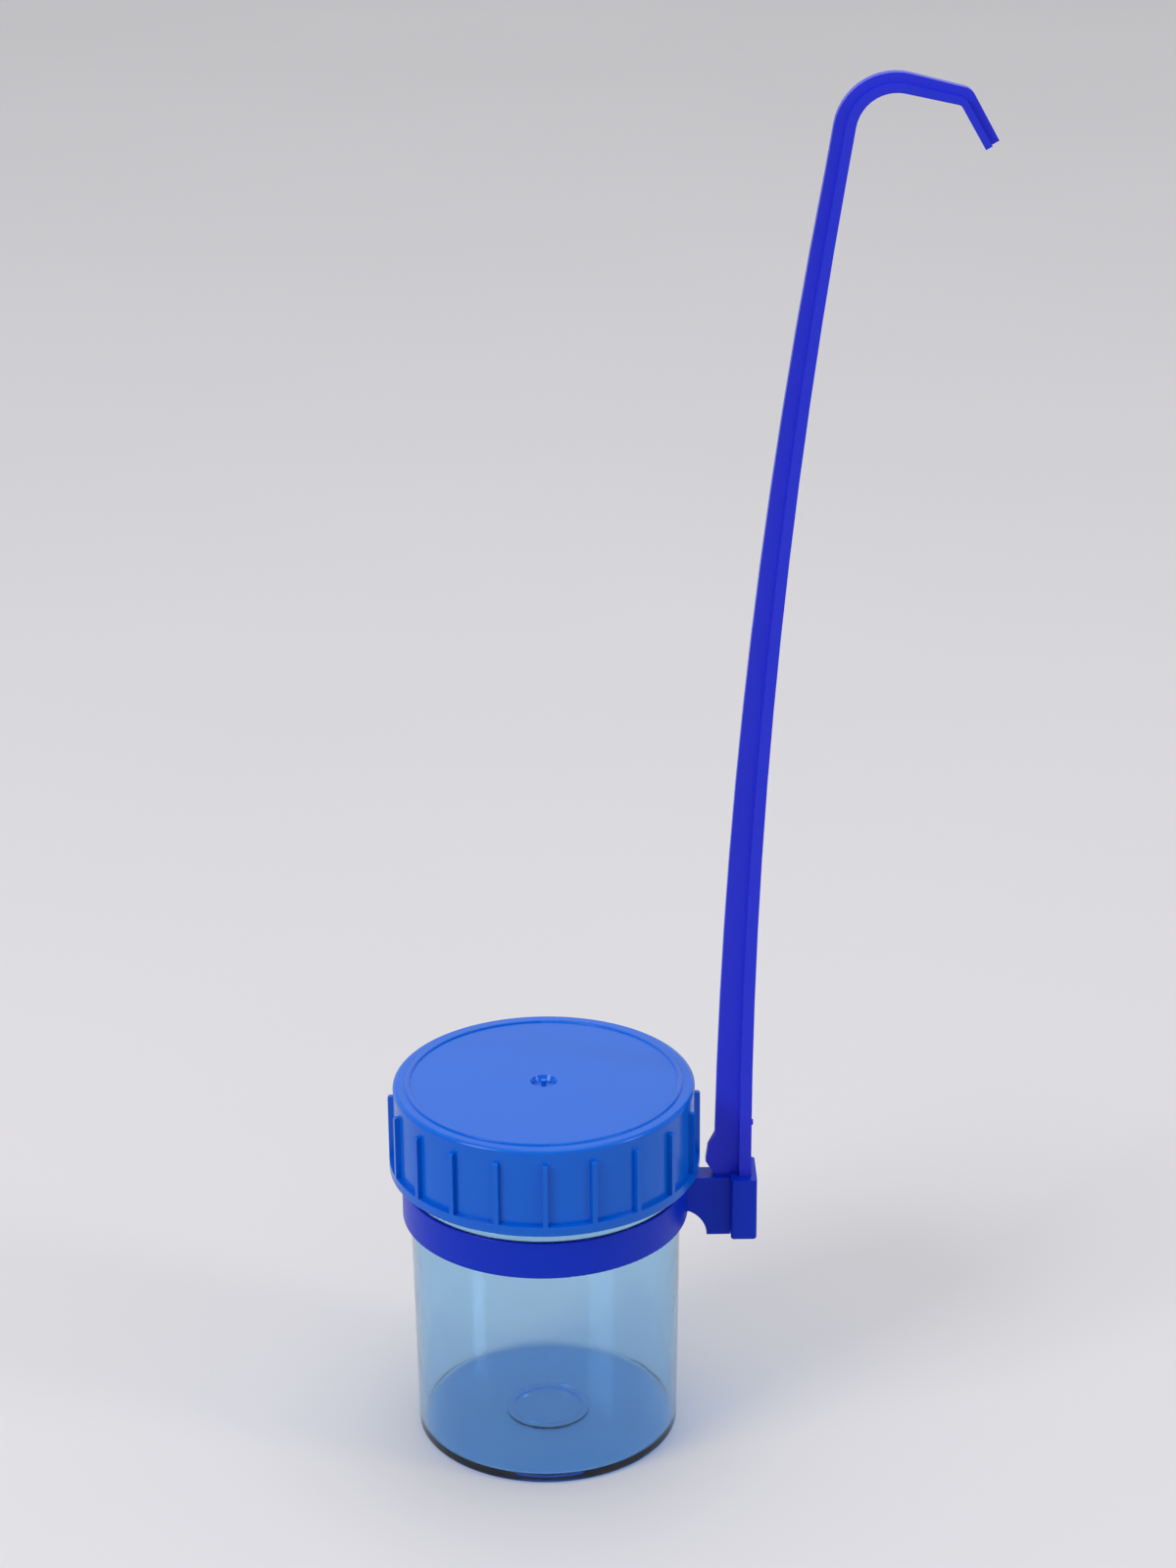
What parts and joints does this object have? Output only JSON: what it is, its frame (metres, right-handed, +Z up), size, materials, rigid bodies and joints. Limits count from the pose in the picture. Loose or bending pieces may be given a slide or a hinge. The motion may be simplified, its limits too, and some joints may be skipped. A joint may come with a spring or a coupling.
{
  "type": "specimen bottle with hooked handle",
  "caption": "Small clear tinted urine bottle with a ribbed screw lid, carried in a collar whose socket holds a long hooked handle.",
  "frame": {"origin": "centre of the bottle's base, on the surface it stands on", "axes": "+Z up along the bottle's axis, +X towards the socket and the handle"},
  "size_m": [0.1111, 0.06, 0.2668],
  "materials": {
    "tinted_clear": "clear moulded, blue tint",
    "liner_foam": "closed-cell foam sheet",
    "lid_blue": "moulded, satin gloss",
    "holder_blue": "moulded, satin"
  },
  "bodies": {
    "holder": {"collar": "holder_blue"},
    "bottle": {"container": "tinted_clear"},
    "liner": {"sealing_liner": "liner_foam"},
    "lid": {"screw_lid": "lid_blue"},
    "handle": {"handle": "holder_blue"}
  },
  "joints": [
    {"name": "bottle_lift", "type": "slide", "parent": "holder", "child": "bottle", "axis": [0, 0, 1], "range_m": [0, 0.056]},
    {"name": "liner_lift", "type": "slide", "parent": "bottle", "child": "liner", "axis": [0, 0, 1], "range_m": [0, 0.0151]},
    {"name": "lid_turn", "type": "hinge", "parent": "liner", "child": "lid", "pos_m": [0, 0, 0.0724], "axis": [0, 0, 1], "range_deg": [0, 1080]},
    {"name": "handle_pull", "type": "slide", "parent": "holder", "child": "handle", "axis": [0, 0, 1], "range_m": [0, 0.012]}
  ],
  "couplings": [
    {"joint": "liner_lift", "follows": "lid_turn", "m_per_rad": 0.00079577}
  ]
}
